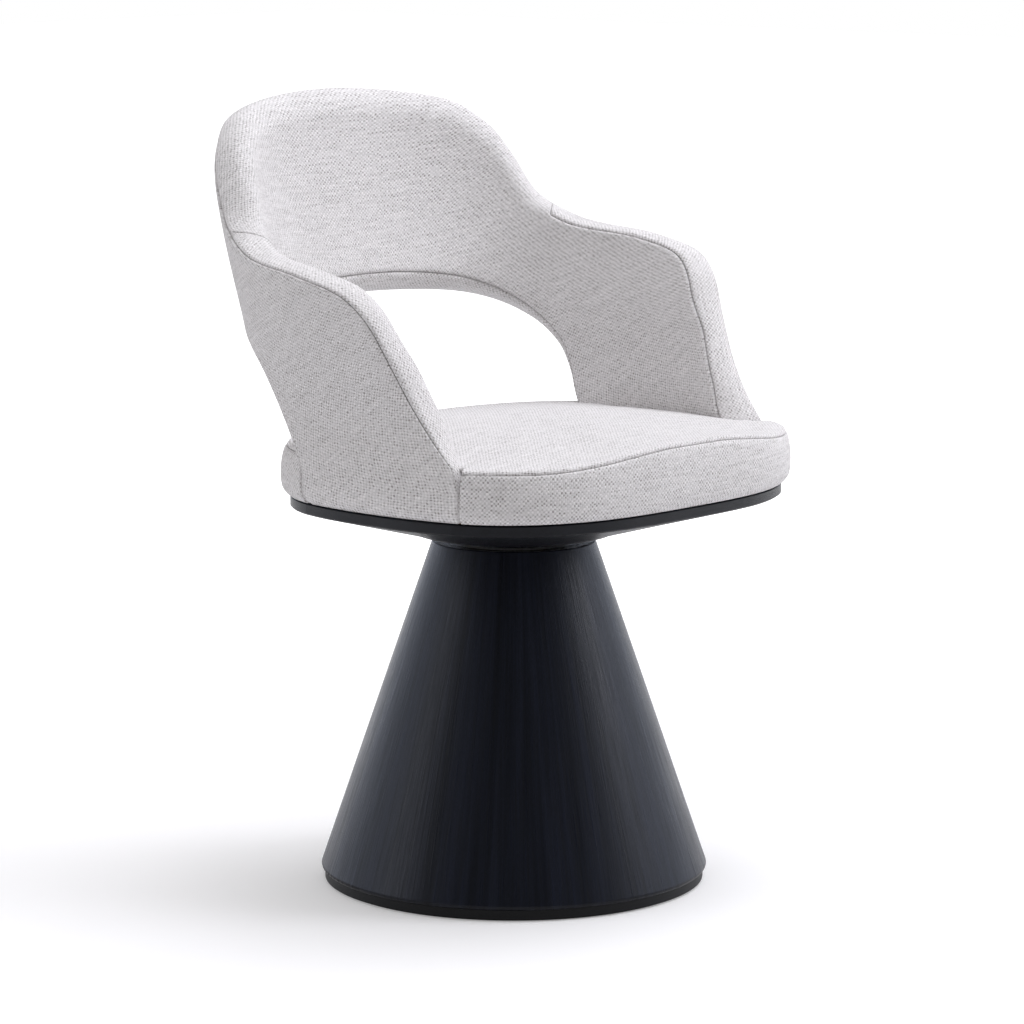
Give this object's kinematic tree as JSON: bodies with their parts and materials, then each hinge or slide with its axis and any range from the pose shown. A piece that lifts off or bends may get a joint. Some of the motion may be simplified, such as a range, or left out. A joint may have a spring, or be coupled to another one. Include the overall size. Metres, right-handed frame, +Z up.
{
  "type": "swivel armchair",
  "caption": "Upholstered dining armchair: a padded tub shell with an open lower back on a round-edged seat that turns on a hollow black wooden cone.",
  "frame": {"origin": "on the floor in the middle of the round foot, at the underside of its rubber pad", "axes": "+Z up, the front of the seat towards -Y, +X to the left hand of a person who sits in it facing -Y"},
  "size_m": [0.55, 0.5322, 0.8003],
  "materials": {
    "black_rubber": "matt",
    "black_painted_steel": "satin powder coat",
    "black_ash": "black stained ash, satin lacquer",
    "black_wood": "black stained, satin lacquer",
    "plywood": "raw plywood",
    "zinc_steel": "zinc plated",
    "bearing_steel": "polished",
    "bush_brass": "turned",
    "cage_plastic": "moulded",
    "frame_steel": "black primer",
    "foam": "open-cell polyurethane foam",
    "grey_tweed": "coarse grey basket weave"
  },
  "bodies": {
    "base": {"floor_pad": "black_rubber", "foot_plate": "black_painted_steel", "foot_bolts": "zinc_steel", "cone_shell": "black_ash", "cone_base_ring": "plywood", "cone_ring_screws": "zinc_steel", "cone_top_ring": "plywood", "column_base_flange": "black_painted_steel", "column_tube": "black_painted_steel", "column_top_flange": "black_painted_steel", "bearing_lower_race": "zinc_steel", "lower_race_screws": "zinc_steel", "bearing_balls": "bearing_steel", "bearing_cage": "cage_plastic", "pivot_bush": "bush_brass"},
    "seat": {"bearing_upper_race": "zinc_steel", "upper_race_screws": "zinc_steel", "pivot_bolt": "zinc_steel", "pivot_washer": "zinc_steel", "pivot_nut": "zinc_steel", "seat_plate": "black_wood", "seat_board": "plywood", "seat_tee_nuts": "zinc_steel", "seat_bolts": "zinc_steel", "frame_outer_rod": "frame_steel", "frame_inner_rod": "frame_steel", "frame_struts": "frame_steel", "frame_foot_strips": "frame_steel", "frame_weld_nuts": "zinc_steel", "frame_bolts": "zinc_steel", "shell_foam": "foam", "shell_outer_cover": "grey_tweed", "opening_band": "grey_tweed", "shell_inner_cover": "grey_tweed", "arm_gusset_right": "grey_tweed", "arm_gusset_left": "grey_tweed", "seat_foam": "foam", "seat_top_cover": "grey_tweed", "seat_front_boxing": "grey_tweed", "seat_rear_boxing": "grey_tweed"}
  },
  "joints": [
    {"name": "swivel", "type": "hinge", "parent": "base", "child": "seat", "pos_m": [0, 0, 0], "axis": [0, 0, 1], "continuous": true}
  ]
}
